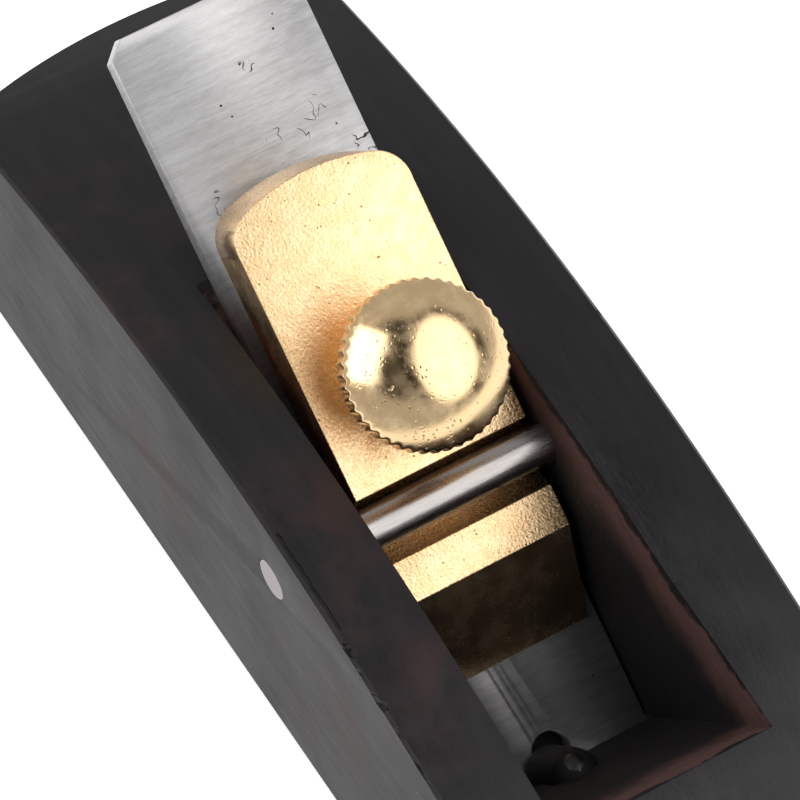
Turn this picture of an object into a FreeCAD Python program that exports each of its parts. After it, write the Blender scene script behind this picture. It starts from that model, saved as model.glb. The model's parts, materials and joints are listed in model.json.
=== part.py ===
import FreeCAD, Part
import math
import os

# Small ebony hand plane with a brass lever cap.  Millimetres.
# +X points to the toe, +Y to the left of a user who pushes the plane, +Z up.
# The origin is the middle of the sole.

# ---- body block ----
body_length = 172.0
body_width = 55.0
crest_height = 46.5        # highest line of the arched top
crest_x = -13.0
top_arch_radius = 255.0
end_bow_radius = 71.0      # heel and toe bow outwards on this radius
end_corner_radius = 8.0
top_chamfer = 0.5
sole_chamfer = 0.6

# ---- bed and iron ----
bed_angle = 35.0
edge_x = 36.0              # cutting edge, level with the sole
iron_width = 28.0
iron_thickness = 3.2
iron_length = 117.8
iron_bevel_angle = 30.0
iron_corner_cut = 2.4
iron_hole_radius = 2.8
iron_hole_from_edge = 7.2
bed_clearance = 0.1        # between the iron and its bed

# ---- throat ----
throat_right_y = -15.9
throat_left_rear_y = 14.4
throat_left_front_y = 15.6
throat_flare_x = 34.0      # the left wall is straight behind this and flares in front
throat_front_x = 58.4      # front edge, measured at throat_front_z
throat_front_z = 37.0
lip_from_edge = 5.2        # lower end of the sloped front wall, along the bed
mouth_gap = 1.2            # iron to lip, square to the iron
boss_radius = 3.6          # half-round rib at the foot of the front wall
boss_y = -1.6
boss_reach = 3.4           # how far the rib stands over the iron, along the bed
boss_length = 9.0           # up the wall to the middle of its round end

# ---- cross bar ----
bar_radius = 3.0
bar_along = 45.8           # bar axis, along the bed from the cutting edge
bar_above = 10.3           # and square to the iron

# ---- lever cap ----
cap_half_width = 13.1
cap_base_half_width = 12.6
cap_face_height = 12.0
cap_step_height = 9.4      # top of the part in front of the bar
cap_step_rear = 46.0
cap_step_front = 34.4
cap_nose = 21.0
cap_nose_thickness = 0.5
cap_nose_pad = 4.0
cap_nose_gap = 0.1
cap_underside_height = 2.0
cap_relief_run = 1.5       # the relieved underside starts on this slope behind the nose pad
cap_tail_face = 92.0
cap_tail_base = 93.2
cap_crown_radius = 30.0
cap_corner_length = 7.0    # round corner between side and crowned tail, along the side
cap_corner_width = 3.3     # and across the tail
cap_corner_bulge = 1.1
groove_radius = 5.3        # round groove under the bar, in front of the bar's axis
groove_along = 44.69
groove_above = 12.25

# ---- thumbscrew ----
screw_along = 62.9
stud_radius = 2.5
stud_hole_radius = 2.56
stud_tip_height = 0.1
stud_tip_length = 1.2
stud_tip_radius = 1.6
stud_top = 23.9
head_socket_radius = 2.56
head_socket_top = 24.0
head_radius = 11.5
head_rim_low = 21.2
head_rim_high = 24.0
head_rim_chamfer = 0.3
head_under_width = 1.2     # flat ring under the rim
head_neck_radius = 5.2
head_neck_low = 15.6
head_neck_high = 19.2
head_edge_round = 0.8      # round-over between the rim and the dome
head_dome_radius = 16.5

big = 200.0                # longer than any part of the plane, for cutting tools
margin = 5.0
tiny = 0.01
bed = math.radians(bed_angle)


def bed_point(along, above, y=0.0):
    """A point from its distance up the iron and its height square to the iron's face."""
    x = edge_x - along * math.cos(bed) + above * math.sin(bed)
    z = along * math.sin(bed) + above * math.cos(bed)
    return FreeCAD.Vector(x, y, z)


def bed_direction():
    return FreeCAD.Vector(-math.cos(bed), 0, math.sin(bed))


def face_direction():
    return FreeCAD.Vector(math.sin(bed), 0, math.cos(bed))


def closed_face(points):
    return Part.Face(Part.makePolygon(points + [points[0]]))


def prism_y(points, low_y, high_y):
    """Extrude an outline in the X-Z plane from low_y to high_y."""
    moved = [FreeCAD.Vector(p.x, low_y, p.z) for p in points]
    return closed_face(moved).extrude(FreeCAD.Vector(0, high_y - low_y, 0))


def cylinder_y(centre, radius, low_y, high_y):
    start = FreeCAD.Vector(centre.x, low_y, centre.z)
    return Part.makeCylinder(radius, high_y - low_y, start, FreeCAD.Vector(0, 1, 0))


def bow_depth(y):
    return end_bow_radius - math.sqrt(end_bow_radius ** 2 - y ** 2)


def body_blank():
    """Block with straight sides, bowed ends and round corners."""
    half_length = body_length / 2
    half_width = body_width / 2
    side_x = half_length - bow_depth(half_width)
    corners = {}
    for sx in (-1, 1):
        for sy in (-1, 1):
            corners[sx, sy] = FreeCAD.Vector(sx * side_x, sy * half_width, 0)
    toe = FreeCAD.Vector(half_length, 0, 0)
    heel = FreeCAD.Vector(-half_length, 0, 0)
    edges = [
        Part.LineSegment(corners[-1, -1], corners[1, -1]).toShape(),
        Part.Arc(corners[1, -1], toe, corners[1, 1]).toShape(),
        Part.LineSegment(corners[1, 1], corners[-1, 1]).toShape(),
        Part.Arc(corners[-1, 1], heel, corners[-1, -1]).toShape(),
    ]
    blank = Part.Face(Part.Wire(edges)).extrude(FreeCAD.Vector(0, 0, crest_height + margin))
    upright = [e for e in blank.Edges if abs(e.Vertexes[0].Z - e.Vertexes[-1].Z) > margin]
    return blank.makeFillet(end_corner_radius, upright)


def arched_top_tool():
    """Everything under the arched top surface."""
    centre = FreeCAD.Vector(crest_x, 0, crest_height - top_arch_radius)
    return cylinder_y(centre, top_arch_radius, -body_width, body_width)


def front_wall_direction():
    lip = bed_point(lip_from_edge, mouth_gap)
    top = FreeCAD.Vector(throat_front_x, 0, throat_front_z)
    return (top - lip).normalize()


def throat_tool():
    """The throat: bed, sloped front wall and the narrow mouth below it."""
    under = -iron_thickness - bed_clearance
    lip = bed_point(lip_from_edge, mouth_gap)
    below_sole = -2 * margin
    outline = [
        bed_point(below_sole, under),
        bed_point(big, under),
        lip + front_wall_direction() * big,
        lip,
        bed_point(below_sole, mouth_gap),
    ]
    slot = prism_y(outline, -body_width, body_width)
    plan = [
        FreeCAD.Vector(-big, throat_right_y, -margin),
        FreeCAD.Vector(big, throat_right_y, -margin),
        FreeCAD.Vector(big, throat_left_front_y, -margin),
        FreeCAD.Vector(throat_front_x, throat_left_front_y, -margin),
        FreeCAD.Vector(throat_flare_x, throat_left_rear_y, -margin),
        FreeCAD.Vector(-big, throat_left_rear_y, -margin),
    ]
    walls = closed_face(plan).extrude(FreeCAD.Vector(0, 0, big))
    return slot.common(walls)


def front_boss():
    """Half-round rib with a round end, left on the front wall just above the mouth."""
    foot = bed_point(lip_from_edge + boss_reach - boss_radius, mouth_gap, boss_y)
    direction = front_wall_direction()
    rib = Part.makeCylinder(boss_radius, boss_length, foot, direction)
    rib = rib.fuse(Part.makeSphere(boss_radius, foot + direction * boss_length))
    reach = 4 * boss_length
    above_mouth = [
        bed_point(-reach, mouth_gap),
        bed_point(reach, mouth_gap),
        bed_point(reach, reach),
        bed_point(-reach, reach),
    ]
    return rib.common(prism_y(above_mouth, -body_width, body_width))


def make_body():
    solid = body_blank().common(arched_top_tool())
    top_edges = [e for e in solid.Edges if min(v.Z for v in e.Vertexes) > margin]
    solid = solid.makeChamfer(top_chamfer, top_edges)
    sole_edges = [e for e in solid.Edges if max(v.Z for v in e.Vertexes) < tiny]
    solid = solid.makeChamfer(sole_chamfer, sole_edges)
    solid = solid.cut(throat_tool())
    solid = solid.fuse(front_boss())
    bore = cylinder_y(bed_point(bar_along, bar_above), bar_radius, -body_width, body_width)
    return solid.cut(bore)


def make_cross_bar():
    """Round bar, its ends flush with both sides of the body."""
    centre = bed_point(bar_along, bar_above)
    return cylinder_y(centre, bar_radius, -body_width / 2, body_width / 2)


def make_iron():
    bevel_run = iron_thickness / math.tan(math.radians(iron_bevel_angle))
    outline = [
        bed_point(0, 0),
        bed_point(bevel_run, -iron_thickness),
        bed_point(iron_length, -iron_thickness),
        bed_point(iron_length, 0),
    ]
    solid = prism_y(outline, -iron_width / 2, iron_width / 2)
    corner_edges = []
    for edge in solid.Edges:
        ends = [v.Point for v in edge.Vertexes]
        across = abs((ends[0] - ends[1]).dot(face_direction()))
        far = min(p.sub(bed_point(0, 0)).dot(bed_direction()) for p in ends)
        if across > iron_thickness - tiny and far > iron_length - tiny:
            corner_edges.append(edge)
    solid = solid.makeChamfer(iron_corner_cut, corner_edges)
    hole = Part.makeCylinder(
        iron_hole_radius,
        3 * iron_thickness,
        bed_point(iron_hole_from_edge, -2 * iron_thickness),
        face_direction(),
    )
    return solid.cut(hole)


def cap_outline(height, half_width, tail):
    """Closed outline of the lever cap, square to the iron, with a crowned tail."""
    crown_end = half_width - cap_corner_width
    crown_drop = cap_crown_radius - math.sqrt(cap_crown_radius ** 2 - crown_end ** 2)
    side_end = tail - cap_corner_length
    shoulder = tail - crown_drop
    knee = (shoulder + side_end) / 2 + cap_corner_bulge
    knee_y = (crown_end + half_width) / 2 + cap_corner_bulge / 2

    def at(along, y):
        return bed_point(along, height, y)

    edges = [
        Part.LineSegment(at(cap_nose, half_width), at(cap_nose, -half_width)),
        Part.LineSegment(at(cap_nose, -half_width), at(side_end, -half_width)),
        Part.Arc(at(side_end, -half_width), at(knee, -knee_y), at(shoulder, -crown_end)),
        Part.Arc(at(shoulder, -crown_end), at(tail, 0), at(shoulder, crown_end)),
        Part.Arc(at(shoulder, crown_end), at(knee, knee_y), at(side_end, half_width)),
        Part.LineSegment(at(side_end, half_width), at(cap_nose, half_width)),
    ]
    return Part.Wire([edge.toShape() for edge in edges])


def make_lever_cap():
    """Thick cast wedge: seat groove under the bar, bevelled nose, relieved underside."""
    low = cap_outline(cap_nose_gap, cap_base_half_width, cap_tail_base)
    high = cap_outline(cap_face_height, cap_half_width, cap_tail_face)
    solid = Part.makeLoft([low, high], True, True)
    above_step = [
        bed_point(cap_step_rear, cap_step_height),
        bed_point(cap_step_front, cap_step_height),
        bed_point(cap_nose, cap_nose_thickness),
        bed_point(0, cap_nose_thickness),
        bed_point(0, 2 * cap_face_height),
        bed_point(cap_step_rear, 2 * cap_face_height),
    ]
    relief_start = cap_nose + cap_nose_pad
    under_relief = [
        bed_point(relief_start, -margin),
        bed_point(relief_start, cap_nose_gap),
        bed_point(relief_start + cap_relief_run, cap_underside_height),
        bed_point(iron_length, cap_underside_height),
        bed_point(iron_length, -margin),
    ]
    groove_axis = bed_point(groove_along, groove_above)
    groove = cylinder_y(groove_axis, groove_radius, -body_width, body_width)
    stud_foot = bed_point(screw_along, -margin)
    stud_hole = Part.makeCylinder(stud_hole_radius, big, stud_foot, face_direction())
    solid = solid.cut(prism_y(above_step, -body_width, body_width))
    solid = solid.cut(prism_y(under_relief, -body_width, body_width))
    solid = solid.cut(groove)
    return solid.cut(stud_hole)


def stand_on_bed(shape):
    """Turn a shape made round +Z so that it stands square to the iron, at the screw."""
    shape.rotate(FreeCAD.Vector(0, 0, 0), FreeCAD.Vector(0, 1, 0), bed_angle)
    shape.translate(bed_point(screw_along, 0))
    return shape


def make_thumbscrew_head():
    """Turned head: neck, flat rim, round edge and a low dome on top."""
    edge_centre = head_radius - head_edge_round
    dome_reach = edge_centre / (1 - head_edge_round / head_dome_radius)
    dome_slope = math.asin(dome_reach / head_dome_radius)
    dome_centre = head_rim_high - (head_dome_radius - head_edge_round) * math.cos(dome_slope)

    def at(radius, height):
        return FreeCAD.Vector(radius, 0, height)

    def on_edge(slope):
        out = edge_centre + head_edge_round * math.sin(slope)
        return at(out, head_rim_high + head_edge_round * math.cos(slope))

    def on_dome(slope):
        rise = head_dome_radius * math.cos(slope)
        return at(head_dome_radius * math.sin(slope), dome_centre + rise)

    edge_middle = (math.pi / 2 + dome_slope) / 2
    neck_foot = at(head_neck_radius, head_neck_low)
    neck_head = at(head_neck_radius, head_neck_high)
    under_edge = at(head_radius - head_under_width, head_rim_low)
    rim_foot = at(head_radius, head_rim_low + head_rim_chamfer)
    rim_head = at(head_radius, head_rim_high)
    apex = at(0, dome_centre + head_dome_radius)
    socket_foot = at(head_socket_radius, head_neck_low)
    socket_edge = at(head_socket_radius, head_socket_top)
    socket_top = at(0, head_socket_top)
    edges = [
        Part.LineSegment(socket_foot, neck_foot),
        Part.LineSegment(neck_foot, neck_head),
        Part.LineSegment(neck_head, under_edge),
        Part.LineSegment(under_edge, rim_foot),
        Part.LineSegment(rim_foot, rim_head),
        Part.Arc(rim_head, on_edge(edge_middle), on_dome(dome_slope)),
        Part.Arc(on_dome(dome_slope), on_dome(dome_slope / 2), apex),
        Part.LineSegment(apex, socket_top),
        Part.LineSegment(socket_top, socket_edge),
        Part.LineSegment(socket_edge, socket_foot),
    ]
    profile = Part.Face(Part.Wire([edge.toShape() for edge in edges]))
    head = profile.revolve(FreeCAD.Vector(0, 0, 0), FreeCAD.Vector(0, 0, 1), 360)
    return stand_on_bed(head)


def make_thumbscrew_stud():
    """Shank that runs from the head through the lever cap to the iron, with a coned tip."""
    tip_foot = FreeCAD.Vector(0, 0, stud_tip_height)
    shank_foot = FreeCAD.Vector(0, 0, stud_tip_height + stud_tip_length)
    shank = Part.makeCylinder(stud_radius, stud_top - shank_foot.z, shank_foot)
    tip = Part.makeCone(stud_tip_radius, stud_radius, stud_tip_length, tip_foot)
    return stand_on_bed(shank.fuse(tip).removeSplitter())


makers = {
    "body": make_body,
    "iron": make_iron,
    "lever_cap": make_lever_cap,
    "cross_bar": make_cross_bar,
    "thumbscrew_head": make_thumbscrew_head,
    "thumbscrew_stud": make_thumbscrew_stud,
}

os.makedirs("parts", exist_ok=True)
for node_name, make in makers.items():
    piece = make()
    print(node_name, "solids", len(piece.Solids), "valid", piece.isValid(), "volume", round(piece.Volume, 1))
    piece.exportStep("parts/" + node_name + ".step")
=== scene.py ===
import json
import math

import bmesh
import bpy
from mathutils import Matrix, Quaternion, Vector, noise


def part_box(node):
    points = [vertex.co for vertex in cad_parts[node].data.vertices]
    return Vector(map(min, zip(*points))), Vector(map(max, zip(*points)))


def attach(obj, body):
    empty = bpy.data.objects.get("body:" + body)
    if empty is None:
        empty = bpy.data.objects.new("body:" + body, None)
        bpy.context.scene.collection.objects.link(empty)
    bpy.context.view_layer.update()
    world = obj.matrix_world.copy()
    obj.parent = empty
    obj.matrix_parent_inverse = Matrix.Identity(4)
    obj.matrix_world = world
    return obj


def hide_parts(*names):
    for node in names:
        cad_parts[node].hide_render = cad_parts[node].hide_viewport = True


# Looks of a small ebony hand plane: waxed block, raw throat, ground iron, cast brass lever cap,
# polished cross bar and a turned thumbscrew with a knurled rim.  Metres, in the part's own frame.

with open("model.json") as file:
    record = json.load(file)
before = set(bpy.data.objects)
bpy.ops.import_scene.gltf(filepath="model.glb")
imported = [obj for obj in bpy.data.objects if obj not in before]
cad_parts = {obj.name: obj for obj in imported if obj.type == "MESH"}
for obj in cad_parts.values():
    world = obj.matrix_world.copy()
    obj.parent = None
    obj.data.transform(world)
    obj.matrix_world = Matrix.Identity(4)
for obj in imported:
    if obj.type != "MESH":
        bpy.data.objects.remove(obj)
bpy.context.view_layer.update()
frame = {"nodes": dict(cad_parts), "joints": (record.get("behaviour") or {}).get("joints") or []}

mm = 0.001
joints = {joint["name"]: joint for joint in frame["joints"]}
off_iron = Vector(joints["thumbscrew_turn"]["axis"])
up_iron = Vector(joints["iron_slide"]["axis"])
across = Vector((0, 1, 0))
edge = Vector((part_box("iron")[1].x, 0, 0))
bed_angle = math.atan2(up_iron.z, -up_iron.x)

# The arched top, in mm: where its crest is, how high, and the arch's radius.
crest_x = -13
crest_height = 46.5
arch_radius = 255


def bed_point(along, above):
    """A point from its distance up the iron and its height square to the iron's face, in mm."""
    return edge + up_iron * along * mm + off_iron * above * mm


# ---------------------------------------------------------------- shader building blocks


class Shader:
    """A material with one Principled shader, and short ways to add nodes to it."""

    def __init__(self, name, colour, roughness, metallic=0.0):
        self.material = bpy.data.materials.new(name)
        self.material.use_nodes = True
        self.tree = self.material.node_tree
        self.surface = self.tree.nodes["Principled BSDF"]
        self.surface.inputs["Base Color"].default_value = (*colour, 1)
        self.surface.inputs["Roughness"].default_value = roughness
        self.surface.inputs["Metallic"].default_value = metallic
        self.place = self.add("TexCoord").outputs["Object"]

    def add(self, kind, **settings):
        made = self.tree.nodes.new("ShaderNode" + kind)
        for name, value in settings.items():
            setattr(made, name, value)
        return made

    def feed(self, socket, value):
        if isinstance(value, bpy.types.NodeSocket):
            self.tree.links.new(value, socket)
        else:
            socket.default_value = value

    def set(self, name, value):
        self.feed(self.surface.inputs[name], value)

    def math(self, operation, first, second=0.0):
        made = self.add("Math", operation=operation)
        self.feed(made.inputs[0], first)
        self.feed(made.inputs[1], second)
        return made.outputs[0]

    def stretched(self, scale, turned=False):
        """Object coordinates times a scale, turned to lie along the iron if asked."""
        source = self.place
        if turned:
            level = self.add("Mapping")
            self.feed(level.inputs["Vector"], source)
            level.inputs["Rotation"].default_value = (0, -bed_angle, 0)
            run = edge.x * math.cos(bed_angle)
            rise = edge.x * math.sin(bed_angle)
            level.inputs["Location"].default_value = (-run, 0, -rise)
            source = level.outputs[0]
        sized = self.add("Mapping")
        self.feed(sized.inputs["Vector"], source)
        sized.inputs["Scale"].default_value = scale
        return sized.outputs[0]

    def noise(self, vector, detail=3.0, roughness=0.5, distortion=0.0):
        made = self.add("TexNoise")
        self.feed(made.inputs["Vector"], vector)
        made.inputs["Scale"].default_value = 1.0
        made.inputs["Detail"].default_value = detail
        made.inputs["Roughness"].default_value = roughness
        made.inputs["Distortion"].default_value = distortion
        return made.outputs["Fac"]

    def cells(self, vector, feature="F1"):
        made = self.add("TexVoronoi", feature=feature)
        self.feed(made.inputs["Vector"], vector)
        made.inputs["Scale"].default_value = 1.0
        return made

    def ramp(self, value, low, high, start=0.0, end=1.0):
        made = self.add("MapRange", interpolation_type="SMOOTHSTEP")
        self.feed(made.inputs["Value"], value)
        made.inputs["From Min"].default_value = low
        made.inputs["From Max"].default_value = high
        made.inputs["To Min"].default_value = start
        made.inputs["To Max"].default_value = end
        return made.outputs[0]

    def blend(self, share, first, second):
        made = self.add("Mix", data_type="RGBA")
        self.feed(made.inputs["Factor"], share)
        for socket, value in ((made.inputs[6], first), (made.inputs[7], second)):
            self.feed(socket, value if isinstance(value, bpy.types.NodeSocket) else (*value, 1))
        return made.outputs[2]

    def parts(self, vector):
        made = self.add("SeparateXYZ")
        self.feed(made.inputs[0], vector)
        return made.outputs

    def blob(self, centre, radius):
        """1 at a point of the object, fading to 0 at the radius."""
        made = self.add("VectorMath", operation="DISTANCE")
        self.feed(made.inputs[0], self.place)
        made.inputs[1].default_value = centre
        return self.ramp(made.outputs["Value"], radius, radius * 0.2)

    def bump(self, height, depth, strength, under=None):
        """Relief of that depth in metres, on top of another relief."""
        made = self.add("Bump")
        self.feed(made.inputs["Height"], height)
        made.inputs["Distance"].default_value = depth
        made.inputs["Strength"].default_value = strength
        if under is not None:
            self.feed(made.inputs["Normal"], under)
        return made.outputs[0]


# ---------------------------------------------------------------- finishes


def waxed_ebony(name, rubbed_roughness, open_roughness):
    """Near-black heartwood with a grey wax sheen, lengthwise pores and soft reddish patches."""
    wood = Shader(name, (0.013, 0.013, 0.016), rubbed_roughness)
    grain = wood.noise(wood.stretched((90, 2600, 2600)), detail=5, roughness=0.65)
    streaks = wood.noise(wood.stretched((30, 420, 420)), detail=4, roughness=0.6)
    mottle = wood.noise(wood.stretched((70, 70, 70)), detail=5, roughness=0.6)
    black = wood.blend(wood.ramp(streaks, 0.35, 0.7), (0.0025, 0.0023, 0.003), (0.007, 0.006, 0.007))
    brown_spots = (
        (Vector((-0.051, -0.022, 0.044)), 0.016),
        (Vector((-0.036, -0.025, 0.046)), 0.012),
        (Vector((0.004, -0.024, 0.046)), 0.014),
        (Vector((0.017, -0.024, 0.045)), 0.013),
        (Vector((0.034, -0.021, 0.043)), 0.014),
        (Vector((-0.030, -0.0275, 0.022)), 0.020),
        (Vector((0.020, -0.0275, 0.020)), 0.024),
    )
    reach = wood.blob(*brown_spots[0])
    for spot in brown_spots[1:]:
        reach = wood.math("MAXIMUM", reach, wood.blob(*spot))
    patchy = wood.math("MULTIPLY", reach, wood.ramp(mottle, 0.42, 0.66))
    coloured = wood.blend(patchy, black, (0.026, 0.011, 0.009))
    dust = wood.cells(wood.stretched((170, 170, 170)))
    speck = wood.math("LESS_THAN", dust.outputs["Distance"], 0.030)
    rare = wood.ramp(wood.noise(wood.stretched((260, 260, 260)), detail=0), 0.56, 0.60)
    dusty = wood.math("MULTIPLY", speck, rare)
    wood.set("Base Color", wood.blend(dusty, coloured, (0.20, 0.19, 0.18)))
    rubbed = wood.ramp(mottle, 0.3, 0.75, rubbed_roughness, open_roughness)
    pores = wood.ramp(grain, 0.30, 0.62)
    wood.set("Roughness", wood.math("ADD", rubbed, wood.math("MULTIPLY", pores, 0.07)))
    scratch = wood.noise(wood.stretched((25, 5200, 5200)), detail=2, roughness=0.5)
    relief = wood.bump(pores, 0.012 * mm, 0.6)
    relief = wood.bump(wood.ramp(scratch, 0.55, 0.62), 0.010 * mm, 0.5, relief)
    relief = wood.bump(mottle, 0.10 * mm, 0.20, relief)
    wood.set("Normal", relief)
    wood.set("Specular IOR Level", 0.40)
    wood.set("Specular Tint", (1.0, 0.97, 1.0, 1))
    return wood.material


def raw_ebony():
    """The unwaxed throat: reddish brown below an uneven dark strip at the top, fading to black further
    down as painted shade.
    """
    wood = Shader("raw_ebony", (0.010, 0.009, 0.009), 0.70)
    wood.set("Specular IOR Level", 0.25)
    height = wood.parts(wood.place)[2]
    along = wood.parts(wood.place)[0]
    arch = wood.math("POWER", wood.math("SUBTRACT", along, crest_x * mm), 2.0)
    drop = wood.math("MULTIPLY", arch, 1 / (2 * arch_radius * mm))
    depth = wood.math("SUBTRACT", crest_height * mm, drop)
    depth = wood.math("SUBTRACT", depth, height)
    ragged = wood.noise(wood.stretched((160, 160, 160)), detail=6, roughness=0.65)
    shift = wood.math("MULTIPLY", wood.math("SUBTRACT", ragged, 0.5), 9 * mm)
    edge_depth = wood.math("ADD", depth, shift)
    strip = wood.ramp(edge_depth, 1.0 * mm, 2.2 * mm)
    # Painted shade: the brown fades to black from 4 to 13 mm below the top, deeper in the throat.
    fade = wood.ramp(edge_depth, 13 * mm, 4 * mm)
    brown = wood.math("MULTIPLY", strip, fade)
    fibres = wood.noise(wood.stretched((300, 300, 2400)), detail=4, roughness=0.6)
    tint = wood.blend(fibres, (0.040, 0.021, 0.018), (0.120, 0.062, 0.052))
    wood.set("Base Color", wood.blend(brown, (0.007, 0.006, 0.007), tint))
    saw = wood.noise(wood.stretched((150, 5000, 400)), detail=2)
    relief = wood.bump(saw, 0.03 * mm, 0.6)
    wood.set("Normal", wood.bump(ragged, 0.5 * mm, 0.5, relief))
    return wood.material


def ground_steel():
    """Light grey iron, ground across its width, with small black pits and worm-like etch marks."""
    steel = Shader("ground_steel", (0.60, 0.59, 0.59), 0.36, metallic=1.0)
    lines = steel.noise(steel.stretched((4200, 420, 900), turned=True), detail=5, roughness=0.75)
    wide = steel.noise(steel.stretched((900, 60, 200), turned=True), detail=3, roughness=0.6)
    tone = steel.math("MULTIPLY", lines, 0.6)
    tone = steel.math("ADD", tone, steel.math("MULTIPLY", wide, 0.4))
    grey = steel.blend(steel.ramp(tone, 0.32, 0.68), (0.50, 0.49, 0.485), (0.70, 0.69, 0.685))
    level = steel.stretched((1, 1, 1), turned=True)
    along = steel.math("MULTIPLY", steel.parts(level)[0], -1.0)
    worm_field = steel.noise(steel.stretched((430, 430, 430), turned=True), detail=1, distortion=0.6)
    off_line = steel.math("ABSOLUTE", steel.math("SUBTRACT", worm_field, 0.5))
    worm = steel.ramp(off_line, 0.020, 0.008)
    patch = steel.noise(steel.stretched((150, 190, 150), turned=True), detail=1)
    rear = steel.ramp(along, 88 * mm, 91 * mm)
    rear = steel.math("MULTIPLY", rear, steel.ramp(along, 113 * mm, 109 * mm))
    worm = steel.math("MULTIPLY", worm, steel.math("MULTIPLY", steel.ramp(patch, 0.62, 0.66), rear))
    pit_cells = steel.cells(steel.stretched((620, 620, 620), turned=True))
    pit_field = steel.noise(steel.stretched((170, 170, 170), turned=True), detail=2)
    pit_size = steel.ramp(pit_field, 0.46, 0.75)
    pit = steel.math("LESS_THAN", pit_cells.outputs["Distance"], steel.math("MULTIPLY", pit_size, 0.13))
    marks = steel.math("MAXIMUM", worm, pit)
    steel.set("Base Color", steel.blend(marks, grey, (0.045, 0.038, 0.036)))
    steel.set("Roughness", steel.ramp(lines, 0.3, 0.7, 0.42, 0.54))
    relief = steel.bump(lines, 0.006 * mm, 0.5)
    steel.set("Normal", steel.bump(steel.math("SUBTRACT", 1.0, marks), 0.03 * mm, 0.8, relief))
    return steel.material


def cast_brass():
    """Satin cast face: fine sandy grain with dark pinholes."""
    brass = Shader("cast_brass", (0.94, 0.65, 0.31), 0.34, metallic=1.0)
    sand = brass.noise(brass.stretched((2700, 2700, 2700)), detail=4, roughness=0.65)
    crumb = brass.cells(brass.stretched((2600, 2600, 2600)), feature="SMOOTH_F1").outputs["Distance"]
    swell = brass.noise(brass.stretched((420, 420, 420)), detail=3)
    colour = brass.blend(brass.ramp(swell, 0.35, 0.7), (0.92, 0.62, 0.33), (0.97, 0.70, 0.41))
    holes = brass.cells(brass.stretched((1500, 1500, 1500)))
    some = brass.ramp(brass.noise(brass.stretched((900, 900, 900)), detail=1), 0.52, 0.72)
    hole = brass.math("LESS_THAN", holes.outputs["Distance"], brass.math("MULTIPLY", some, 0.24))
    brass.set("Base Color", brass.blend(hole, colour, (0.30, 0.14, 0.05)))
    brass.set("Roughness", brass.ramp(sand, 0.3, 0.7, 0.20, 0.36))
    relief = brass.bump(sand, 0.085 * mm, 0.9)
    relief = brass.bump(crumb, 0.05 * mm, 0.7, relief)
    brass.set("Normal", brass.bump(brass.math("SUBTRACT", 1.0, hole), 0.05 * mm, 0.6, relief))
    return brass.material


def polished_brass():
    """The lever cap's buffed side walls and its nose bevel."""
    brass = Shader("polished_brass", (0.86, 0.58, 0.30), 0.16, metallic=1.0)
    drawn = brass.noise(brass.stretched((120, 2600, 2600), turned=True), detail=4, roughness=0.6)
    tarnish = brass.noise(brass.stretched((160, 160, 160)), detail=5, roughness=0.65)
    share = brass.ramp(tarnish, 0.3, 0.7)
    brass.set("Base Color", brass.blend(share, (0.80, 0.55, 0.32), (0.96, 0.70, 0.42)))
    brass.set("Roughness", brass.ramp(tarnish, 0.3, 0.7, 0.22, 0.30))
    brass.set("Normal", brass.bump(drawn, 0.010 * mm, 0.6))
    return brass.material


def turned_brass():
    """Paler polished brass of the thumbscrew, with turning lines, small pits and dull spots."""
    brass = Shader("turned_brass", (0.84, 0.61, 0.34), 0.17, metallic=1.0)
    cloud = brass.noise(brass.stretched((330, 330, 330)), detail=5, roughness=0.65)
    share = brass.ramp(cloud, 0.35, 0.68)
    brass.set("Base Color", brass.blend(share, (0.76, 0.54, 0.29), (0.90, 0.66, 0.38)))
    brass.set("Roughness", brass.ramp(cloud, 0.3, 0.7, 0.13, 0.27))
    pits = brass.cells(brass.stretched((1500, 1500, 1500)))
    some = brass.ramp(brass.noise(brass.stretched((500, 500, 500)), detail=2), 0.42, 0.66)
    pit = brass.ramp(pits.outputs["Distance"], 0.05, 0.35)
    pit = brass.math("MULTIPLY", brass.math("SUBTRACT", 1.0, pit), some)
    ripple = brass.noise(brass.stretched((650, 650, 650)), detail=2)
    relief = brass.bump(ripple, 0.020 * mm, 0.4)
    brass.set("Normal", brass.bump(brass.math("SUBTRACT", 1.0, pit), 0.04 * mm, 0.8, relief))
    return brass.material


def polished_steel():
    """The cross bar: ground along its length and polished, with a few black pits."""
    steel = Shader("polished_steel", (0.56, 0.54, 0.53), 0.20, metallic=1.0)
    drawn = steel.noise(steel.stretched((6000, 260, 6000)), detail=4, roughness=0.65)
    pits = steel.cells(steel.stretched((520, 520, 520)))
    some = steel.ramp(steel.noise(steel.stretched((210, 210, 210)), detail=1), 0.58, 0.75)
    pit = steel.math("LESS_THAN", pits.outputs["Distance"], steel.math("MULTIPLY", some, 0.24))
    steel.set("Base Color", steel.blend(pit, (0.38, 0.355, 0.34), (0.04, 0.03, 0.03)))
    steel.set("Roughness", steel.ramp(drawn, 0.3, 0.7, 0.20, 0.34))
    relief = steel.bump(drawn, 0.006 * mm, 0.7)
    steel.set("Normal", steel.bump(steel.math("SUBTRACT", 1.0, pit), 0.04 * mm, 0.8, relief))
    return steel.material


def filed_steel():
    """The bar's ends, filed flush with the wood and dulled."""
    steel = Shader("filed_steel", (0.62, 0.57, 0.56), 0.55, metallic=0.6)
    filed = steel.noise(steel.stretched((400, 400, 3600)), detail=4, roughness=0.6)
    steel.set("Base Color", steel.blend(filed, (0.30, 0.275, 0.27), (0.40, 0.37, 0.365)))
    steel.set("Normal", steel.bump(filed, 0.012 * mm, 0.7))
    return steel.material


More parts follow.
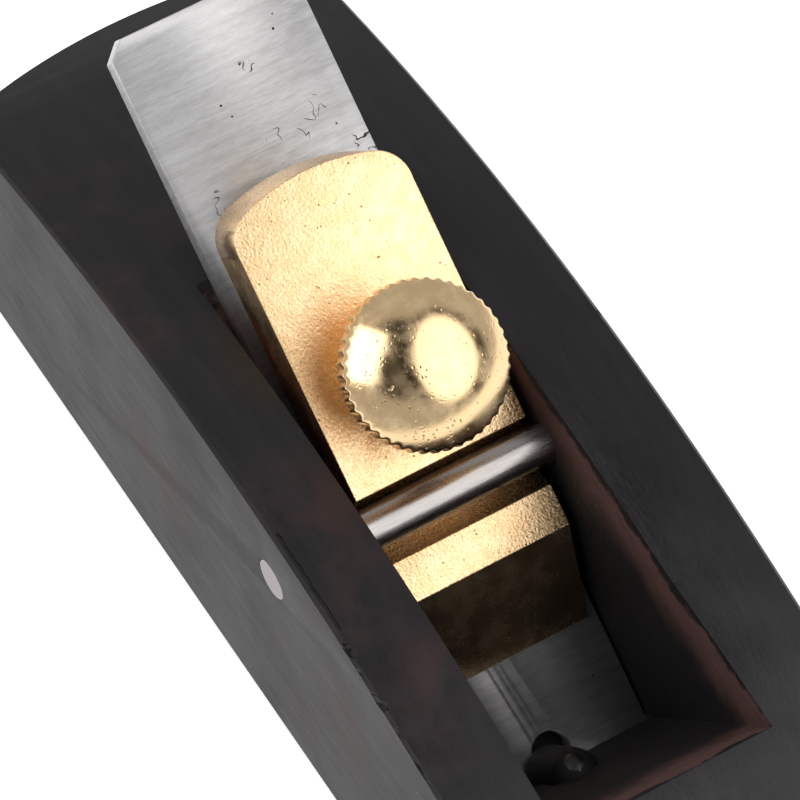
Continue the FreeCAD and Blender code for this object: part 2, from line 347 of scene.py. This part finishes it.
def threaded_steel():
    steel = Shader("threaded_steel", (0.45, 0.43, 0.41), 0.34, metallic=1.0)
    stain = steel.noise(steel.stretched((700, 700, 700)), detail=4)
    steel.set("Base Color", steel.blend(stain, (0.30, 0.27, 0.24), (0.55, 0.52, 0.50)))
    steel.set("Normal", steel.bump(stain, 0.02 * mm, 0.6))
    return steel.material


def pale_floor():
    floor = Shader("pale_floor", (0.90, 0.90, 0.90), 0.85)
    cloud = floor.noise(floor.stretched((9, 9, 9)), detail=2)
    floor.set("Base Color", floor.blend(cloud, (0.89, 0.89, 0.89), (0.91, 0.91, 0.91)))
    floor.set("Emission Color", (1, 1, 1, 1))
    floor.set("Emission Strength", 0.55)
    return floor.material


# ---------------------------------------------------------------- mesh helpers


def show(name, mesh, *materials):
    """Put a mesh in the scene under a name, with its finishes."""
    piece = bpy.data.objects.new(name, mesh)
    bpy.context.scene.collection.objects.link(piece)
    for material in materials:
        mesh.materials.append(material)
    return piece


def baked(piece):
    """Apply a piece's modifiers and leave it a plain mesh."""
    graph = bpy.context.evaluated_depsgraph_get()
    mesh = bpy.data.meshes.new_from_object(piece.evaluated_get(graph))
    piece.modifiers.clear()
    old = piece.data
    piece.data = mesh
    bpy.data.meshes.remove(old)


def smooth(piece, limit=35.0):
    """Shade a piece smooth, but for edges sharper than the limit in degrees."""
    piece.data.polygons.foreach_set("use_smooth", [True] * len(piece.data.polygons))
    piece.data.set_sharp_from_angle(angle=math.radians(limit))
    return piece


def cad_copy(node):
    """The CAD node's shape as whole flat faces, ready to be softened."""
    flat_within = math.radians(0.4)
    shape = bmesh.new()
    shape.from_mesh(frame["nodes"][node].data)
    bmesh.ops.remove_doubles(shape, verts=shape.verts, dist=0.002 * mm)
    bmesh.ops.dissolve_limit(
        shape,
        angle_limit=flat_within,
        verts=shape.verts,
        edges=shape.edges,
    )
    mesh = bpy.data.meshes.new(node + "_shape")
    shape.to_mesh(mesh)
    shape.free()
    mesh.materials.clear()
    return mesh


def soften(piece, width, segments=3):
    """Round every sharp edge, and keep flat faces flat."""
    sharper_than = math.radians(25)
    piece.data.polygons.foreach_set("use_smooth", [True] * len(piece.data.polygons))
    bevel = piece.modifiers.new("soft_edges", "BEVEL")
    bevel.width = width
    bevel.segments = segments
    bevel.limit_method = "ANGLE"
    bevel.angle_limit = sharper_than
    bevel.use_clamp_overlap = True
    bevel.harden_normals = True


def lathe(profile, steps, foot, axis):
    """Turn (radius, height) points in mm about an axis that starts at foot."""
    axis = Vector(axis).normalized()
    side = axis.orthogonal().normalized()
    other = axis.cross(side)
    shape = bmesh.new()
    rings = []
    for radius, height in profile:
        centre = foot + axis * height * mm
        if radius == 0:
            rings.append([shape.verts.new(centre)])
            continue
        ring = []
        for step in range(steps):
            turn = 2 * math.pi * step / steps
            out = side * math.cos(turn) + other * math.sin(turn)
            ring.append(shape.verts.new(centre + out * radius * mm))
        rings.append(ring)
    for low, high in zip(rings, rings[1:]):
        for step in range(steps):
            after = (step + 1) % steps
            corners = [
                low[step % len(low)],
                low[after % len(low)],
                high[after % len(high)],
                high[step % len(high)],
            ]
            face = list(dict.fromkeys(corners))
            if len(face) > 2:
                shape.faces.new(face)
    bmesh.ops.recalc_face_normals(shape, faces=shape.faces)
    mesh = bpy.data.meshes.new("turned")
    shape.to_mesh(mesh)
    shape.free()
    return mesh


def rounded(points, radius):
    """A profile with its inner corners rounded, as quadratic curves."""
    steps = 4
    made = [points[0]]
    for before, corner, after in zip(points, points[1:], points[2:]):
        corner_at = Vector(corner)
        back = Vector(before) - corner_at
        ahead = Vector(after) - corner_at
        reach = min(radius, back.length * 0.45, ahead.length * 0.45)
        start = corner_at + back.normalized() * reach
        end = corner_at + ahead.normalized() * reach
        for step in range(steps + 1):
            share = step / steps
            spot = start * (1 - share) ** 2 + corner_at * 2 * share * (1 - share) + end * share**2
            made.append(tuple(spot))
    made.append(points[-1])
    return made


# ---------------------------------------------------------------- pieces


def crest_at(x):
    """Height of the arched top in mm at that distance along the plane."""
    from_crest = x - crest_x
    return crest_height - (arch_radius - math.sqrt(arch_radius**2 - from_crest**2))


def chip_arris(body):
    """Cut the small chips and the long crack of the worn near edge into the body."""
    # Each chip: how far along and across the plane, half its length, and its depth, in mm.
    chips = [
        (23.8, -27.3, 1.6, 0.75),
        (27.4, -27.4, 1.1, 0.45),
        (32.2, -27.4, 2.0, 0.95),
        (36.9, -27.4, 1.4, 0.50),
        (43.0, -27.5, 2.4, 0.55),
        (52.0, -27.5, 3.0, 0.45),
        (-2.8, 27.4, 0.8, 0.45),
        (-48.0, -27.5, 2.2, 0.35),
    ]
    chip_unevenness = 0.45
    shape = bmesh.new()
    for x, y, length, depth in chips:
        centre = Vector((x, y, crest_at(x)))
        ball = bmesh.ops.create_icosphere(shape, subdivisions=2, radius=1.0)
        for vert in ball["verts"]:
            rough = 1 + chip_unevenness * noise.noise(vert.co * 1.6 + centre)
            spread = Vector((vert.co.x * length, vert.co.y * depth, vert.co.z * depth))
            vert.co = (centre + spread * rough) * mm
    crack_start = 5
    crack_length = 16
    crack_y = -26.6
    crack_steps = 22
    crack_sides = 6
    rings = []
    for step in range(crack_steps):
        x = crack_start + crack_length * step / (crack_steps - 1)
        wander = 0.35 * noise.noise(Vector((step * 0.45, 3.1, 0)))
        thick = 0.20 + 0.08 * noise.noise(Vector((step * 0.9, 7.7, 0)))
        ring = []
        for side in range(crack_sides):
            turn = 2 * math.pi * side / crack_sides
            out = Vector((0, math.cos(turn), math.sin(turn))) * thick
            centre = Vector((x, crack_y + wander, crest_at(x)))
            ring.append(shape.verts.new((centre + out) * mm))
        rings.append(ring)
    for before, after in zip(rings, rings[1:]):
        for side in range(crack_sides):
            following = (side + 1) % crack_sides
            corners = [before[side], before[following], after[following], after[side]]
            shape.faces.new(corners)
    shape.faces.new(rings[0])
    shape.faces.new(rings[-1])
    bmesh.ops.recalc_face_normals(shape, faces=shape.faces)
    mesh = bpy.data.meshes.new("chips")
    shape.to_mesh(mesh)
    shape.free()
    cutter = bpy.data.objects.new("chips", mesh)
    bpy.context.scene.collection.objects.link(cutter)
    cut = body.modifiers.new("chips", "BOOLEAN")
    cut.operation = "DIFFERENCE"
    cut.solver = "EXACT"
    cut.object = cutter
    baked(body)
    bpy.data.objects.remove(cutter)
    bpy.data.meshes.remove(mesh)


def make_body(outer, throat, flank):
    mesh = cad_copy("body")
    body = show("plane_body", mesh, outer, throat, flank)
    soften(body, 0.30 * mm)
    baked(body)
    chip_arris(body)
    throat_low_y = -16.3 * mm
    throat_high_y = 16.0 * mm
    throat_reach = 75 * mm
    sole_edge = 0.7 * mm
    steep = 0.9
    for face in body.data.polygons:
        spot = face.center
        across_throat = throat_low_y < spot.y < throat_high_y
        upright = abs(face.normal.z) < steep
        off_end = abs(spot.x) <= throat_reach
        if across_throat and upright and off_end and spot.z > sole_edge:
            face.material_index = 1
        elif abs(face.normal.y) > steep:
            face.material_index = 2
    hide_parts("body")
    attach(body, "plane_body")


def make_iron(steel):
    iron = show("plane_iron", cad_copy("iron"), steel)
    soften(iron, 0.12 * mm, segments=1)
    baked(iron)
    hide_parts("iron")
    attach(iron, "iron")


def make_lever_cap(face_finish, wall_finish):
    cap = show("lever_cap_casting", cad_copy("lever_cap"), face_finish, wall_finish)
    soften(cap, 0.45 * mm)
    baked(cap)
    for face in cap.data.polygons:
        on_side = abs(face.normal.y) > 0.8
        on_nose = face.normal.dot(off_iron) > 0.6 and face.normal.dot(up_iron) < -0.3
        if on_side or on_nose:
            face.material_index = 1
    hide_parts("lever_cap")
    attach(cap, "lever_cap")


def make_bar(side_finish, end_finish):
    low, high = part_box("cross_bar")
    half = (high.y - low.y) / 2 / mm
    radius = (high.x - low.x) / 2 / mm
    middle = (low + high) / 2
    end_round = 0.15
    bar_steps = 96
    profile = [
        (0, -half),
        (radius - end_round, -half),
        (radius, -half + end_round),
        (radius, half - end_round),
        (radius - end_round, half),
        (0, half),
    ]
    bar = show("cross_bar_rod", lathe(profile, bar_steps, middle, across), side_finish, end_finish)
    for face in bar.data.polygons:
        if abs(face.normal.y) > 0.8:
            face.material_index = 1
    smooth(bar)
    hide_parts("cross_bar")
    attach(bar, "plane_body")


# Sizes of the turned head in mm.  Its heights are over the face of the iron.
screw_along = 62.9
neck_low = 15.6
neck_radius = 5.2
rim_radius = 11.5
rim_low = 21.2
rim_high = 24.0
edge_round = 0.75
dome_radius = 16.5
tooth_count = 44
tooth_depth = 0.42
tooth_width = 1.0
tooth_foot_fade = 0.5
tooth_head_fade = 0.9


def head_profile():
    """Neck, flat rim, round edge and a low dome on top."""
    edge_centre = rim_radius - edge_round
    dome_reach = edge_centre / (1 - edge_round / dome_radius)
    dome_slope = math.asin(dome_reach / dome_radius)
    dome_centre = rim_high - (dome_radius - edge_round) * math.cos(dome_slope)
    flare_low = neck_low + 3.3
    flare_high = neck_low + 4.6
    flare_radius = neck_radius + 0.8
    under = [
        (0, neck_low),
        (neck_radius, neck_low),
        (neck_radius, flare_low),
        (flare_radius, flare_high),
        (rim_radius - 1.4, rim_low),
        (rim_radius - 0.35, rim_low + 0.1),
        (rim_radius, rim_low + 0.6),
        (rim_radius, rim_high),
    ]
    profile = rounded(under, 0.25)
    edge_steps = 6
    for step in range(1, edge_steps):
        slope = math.pi / 2 + (dome_slope - math.pi / 2) * step / edge_steps
        out = edge_centre + edge_round * math.sin(slope)
        profile.append((out, rim_high + edge_round * math.cos(slope)))
    dome_steps = 30
    for step in range(dome_steps):
        slope = dome_slope * (1 - step / dome_steps)
        out = dome_radius * math.sin(slope)
        profile.append((out, dome_centre + dome_radius * math.cos(slope)))
    profile.append((0, dome_centre + dome_radius))
    return profile


def knurl_tree(finish):
    """Cuts teeth into the rim of a shape turned about +Z, and gives it its finish."""
    tree = bpy.data.node_groups.new("knurled_rim", "GeometryNodeTree")
    face = tree.interface
    face.new_socket("Geometry", in_out="INPUT", socket_type="NodeSocketGeometry")
    sizes = (
        ("Teeth", tooth_count),
        ("Depth", tooth_depth * mm),
        ("Rim Radius", rim_radius * mm),
        ("Rim Foot", rim_low * mm),
        ("Rim Head", (rim_high + tooth_head_fade) * mm),
    )
    for name, value in sizes:
        socket = face.new_socket(name, in_out="INPUT", socket_type="NodeSocketFloat")
        socket.default_value = value
    face.new_socket("Geometry", in_out="OUTPUT", socket_type="NodeSocketGeometry")

    def add(kind, **settings):
        made = tree.nodes.new(kind)
        for name, value in settings.items():
            setattr(made, name, value)
        return made

    def feed(socket, value):
        if isinstance(value, bpy.types.NodeSocket):
            tree.links.new(value, socket)
        else:
            socket.default_value = value

    def calc(operation, first, second=0.0):
        made = add("ShaderNodeMath", operation=operation)
        feed(made.inputs[0], first)
        feed(made.inputs[1], second)
        return made.outputs[0]

    def fade(value, low, high):
        made = add("ShaderNodeMapRange", interpolation_type="SMOOTHSTEP")
        feed(made.inputs["Value"], value)
        feed(made.inputs["From Min"], low)
        feed(made.inputs["From Max"], high)
        return made.outputs[0]

    given = add("NodeGroupInput").outputs
    spot = add("GeometryNodeInputPosition").outputs[0]
    split = add("ShaderNodeSeparateXYZ")
    feed(split.inputs[0], spot)
    flat = add("ShaderNodeCombineXYZ")
    feed(flat.inputs["X"], split.outputs["X"])
    feed(flat.inputs["Y"], split.outputs["Y"])
    distance = add("ShaderNodeVectorMath", operation="LENGTH")
    feed(distance.inputs[0], flat.outputs[0])
    radius = distance.outputs["Value"]
    outward = add("ShaderNodeVectorMath", operation="NORMALIZE")
    feed(outward.inputs[0], flat.outputs[0])
    angle = calc("ARCTAN2", split.outputs["Y"], split.outputs["X"])
    wave = calc("SINE", calc("MULTIPLY", angle, given["Teeth"]))
    share = calc("ADD", calc("MULTIPLY", wave, 0.5), 0.5)
    inner = calc("SUBTRACT", given["Rim Radius"], tooth_width * mm)
    near_rim = fade(radius, inner, given["Rim Radius"])
    height = split.outputs["Z"]
    foot_full = calc("ADD", given["Rim Foot"], tooth_foot_fade * mm)
    above_foot = fade(height, given["Rim Foot"], foot_full)
    head_full = calc("SUBTRACT", given["Rim Head"], tooth_head_fade * mm)
    below_head = fade(height, given["Rim Head"], head_full)
    reach = calc("MULTIPLY", near_rim, calc("MULTIPLY", above_foot, below_head))
    depth = calc("MULTIPLY", calc("MULTIPLY", share, given["Depth"]), reach)
    push = add("ShaderNodeVectorMath", operation="SCALE")
    feed(push.inputs[0], outward.outputs[0])
    feed(push.inputs["Scale"], calc("MULTIPLY", depth, -1.0))
    moved = add("GeometryNodeSetPosition")
    feed(moved.inputs["Geometry"], given["Geometry"])
    feed(moved.inputs["Offset"], push.outputs[0])
    real = add("GeometryNodeRealizeInstances")
    feed(real.inputs["Geometry"], moved.outputs["Geometry"])
    dressed = add("GeometryNodeSetMaterial")
    feed(dressed.inputs["Geometry"], real.outputs["Geometry"])
    dressed.inputs["Material"].default_value = finish
    feed(add("NodeGroupOutput").inputs["Geometry"], dressed.outputs["Geometry"])
    return tree


def stand_on_screw(mesh):
    """Move a mesh made about +Z so that it stands square to the iron on the screw's axis."""
    turn = Vector((0, 0, 1)).rotation_difference(off_iron).to_matrix().to_4x4()
    mesh.transform(Matrix.Translation(bed_point(screw_along, 0)) @ turn)


def make_head(brass):
    steps_per_tooth = 8
    steps = tooth_count * steps_per_tooth
    turned = lathe(head_profile(), steps, Vector((0, 0, 0)), Vector((0, 0, 1)))
    head = show("thumbscrew_head_turned", turned)
    knurl = head.modifiers.new("knurl", "NODES")
    knurl.node_group = knurl_tree(brass)
    baked(head)
    stand_on_screw(head.data)
    smooth(head, 50)
    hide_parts("thumbscrew_head")
    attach(head, "thumbscrew_head")


def make_stud(steel):
    """Threaded shank: its radius rises and falls once per pitch and per turn."""
    pitch = 1.0
    crest = 2.5
    root_depth = 0.5
    rows_per_pitch = 8
    steps = 40
    low = 1.3
    high = 23.6
    tip_height = 0.1
    tip_radius = 1.6
    rows = int((high - low) / pitch * rows_per_pitch)
    shape = bmesh.new()
    foot = bed_point(screw_along, 0)
    rings = []
    for row in range(rows + 1):
        height = low + (high - low) * row / rows
        ring = []
        for step in range(steps):
            turn = step / steps
            wave = abs(((height / pitch - turn) % 1.0) * 2 - 1)
            radius = crest - root_depth * wave
            angle = 2 * math.pi * turn
            out = across * math.sin(angle) + up_iron * math.cos(angle)
            ring.append(shape.verts.new(foot + off_iron * height * mm + out * radius * mm))
        rings.append(ring)
    for under, over in zip(rings, rings[1:]):
        for step in range(steps):
            after = (step + 1) % steps
            shape.faces.new([under[step], under[after], over[after], over[step]])
    shape.faces.new(rings[-1])
    tip = []
    for step in range(steps):
        angle = 2 * math.pi * step / steps
        out = across * math.sin(angle) + up_iron * math.cos(angle)
        tip.append(shape.verts.new(foot + off_iron * tip_height * mm + out * tip_radius * mm))
    for step in range(steps):
        after = (step + 1) % steps
        shape.faces.new([tip[step], tip[after], rings[0][after], rings[0][step]])
    shape.faces.new(tip)
    bmesh.ops.recalc_face_normals(shape, faces=shape.faces)
    mesh = bpy.data.meshes.new("threaded")
    shape.to_mesh(mesh)
    shape.free()
    stud = smooth(show("thumbscrew_thread", mesh, steel), 40)
    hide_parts("thumbscrew_stud")
    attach(stud, "thumbscrew_stud")


waxed = waxed_ebony("waxed_ebony", 0.27, 0.35)
flank = waxed_ebony("planed_ebony", 0.46, 0.56)
make_body(waxed, raw_ebony(), flank)
make_iron(ground_steel())
make_lever_cap(cast_brass(), polished_brass())
make_bar(polished_steel(), filed_steel())
make_head(turned_brass())
make_stud(threaded_steel())

# ---------------------------------------------------------------- floor, light and camera


def make_floor():
    half = 2.5
    shape = bmesh.new()
    signs = ((-1, -1), (1, -1), (1, 1), (-1, 1))
    corners = [shape.verts.new((x * half, y * half, 0)) for x, y in signs]
    shape.faces.new(corners)
    mesh = bpy.data.meshes.new("floor")
    shape.to_mesh(mesh)
    shape.free()
    show("floor", mesh, pale_floor())


key_direction = (0.56, 0.46, 0.69)
dark_ceiling = (0.36, -0.18, 0.91)
wall_brightness = 0.58
ceiling_share = 0.10


def softbox(name, direction, distance, width, height, power, shape, roll):
    """A light panel that faces the middle of the plane, turned about its own axis by the roll."""
    light = bpy.data.lights.new(name, "AREA")
    light.shape = shape
    light.size = width
    light.size_y = height
    light.energy = power
    lamp = bpy.data.objects.new(name, light)
    bpy.context.scene.collection.objects.link(lamp)
    aim = Vector((0, 0, 0.035))
    lamp.location = aim + Vector(direction).normalized() * distance
    aimed = (aim - lamp.location).to_track_quat("-Z", "Y")
    rolled = Quaternion((0, 0, 1), math.radians(roll))
    lamp.rotation_euler = (aimed @ rolled).to_euler()


def make_lights():
    softbox("key", key_direction, 1.0, 1.50, 1.20, 9.0, "ELLIPSE", roll=45)
    softbox("near_side", (-0.05, -0.60, 0.80), 1.0, 0.58, 0.86, 4.6, "RECTANGLE", roll=40)


def make_world():
    """Even pale walls, with a dark ceiling over the camera and around the key light."""
    world = bpy.data.worlds.new("studio")
    world.use_nodes = True
    tree = world.node_tree
    backdrop = tree.nodes["Background"]
    backdrop.inputs["Color"].default_value = (0.97, 0.98, 1.0, 1)
    looking = tree.nodes.new("ShaderNodeTexCoord").outputs["Generated"]
    brightness = wall_brightness
    for direction, inner, outer in ((dark_ceiling, 33, 41), (key_direction, 40, 47)):
        facing = tree.nodes.new("ShaderNodeVectorMath")
        facing.operation = "DOT_PRODUCT"
        tree.links.new(looking, facing.inputs[0])
        facing.inputs[1].default_value = Vector(direction).normalized()
        fade = tree.nodes.new("ShaderNodeMapRange")
        fade.interpolation_type = "SMOOTHSTEP"
        tree.links.new(facing.outputs["Value"], fade.inputs["Value"])
        fade.inputs["From Min"].default_value = math.cos(math.radians(outer))
        fade.inputs["From Max"].default_value = math.cos(math.radians(inner))
        fade.inputs["To Min"].default_value = 1.0
        fade.inputs["To Max"].default_value = ceiling_share
        product = tree.nodes.new("ShaderNodeMath")
        product.operation = "MULTIPLY"
        if isinstance(brightness, float):
            product.inputs[0].default_value = brightness
        else:
            tree.links.new(brightness, product.inputs[0])
        tree.links.new(fade.outputs[0], product.inputs[1])
        brightness = product.outputs[0]
    tree.links.new(brightness, backdrop.inputs["Strength"])
    bpy.context.scene.world = world
    bpy.context.scene.view_settings.view_transform = "Standard"


def make_camera():
    lens = bpy.data.cameras.new("camera")
    lens.sensor_width = 36
    lens.lens = 271.08
    lens.clip_start = 0.05
    lens.clip_end = 20
    camera = bpy.data.objects.new("camera", lens)
    bpy.context.scene.collection.objects.link(camera)
    right = Vector((0.51405393, 0.85768752, -0.01098505))
    down = Vector((0.70590283, -0.43028801, -0.56263081))
    forward = Vector((-0.48728816, 0.28146820, -0.82663529))
    turn = Matrix((right, -down, -forward)).transposed().to_4x4()
    camera.matrix_world = Matrix.Translation((0.37954, -0.22425, 0.69759)) @ turn
    bpy.context.scene.camera = camera


make_floor()
make_lights()
make_world()
make_camera()
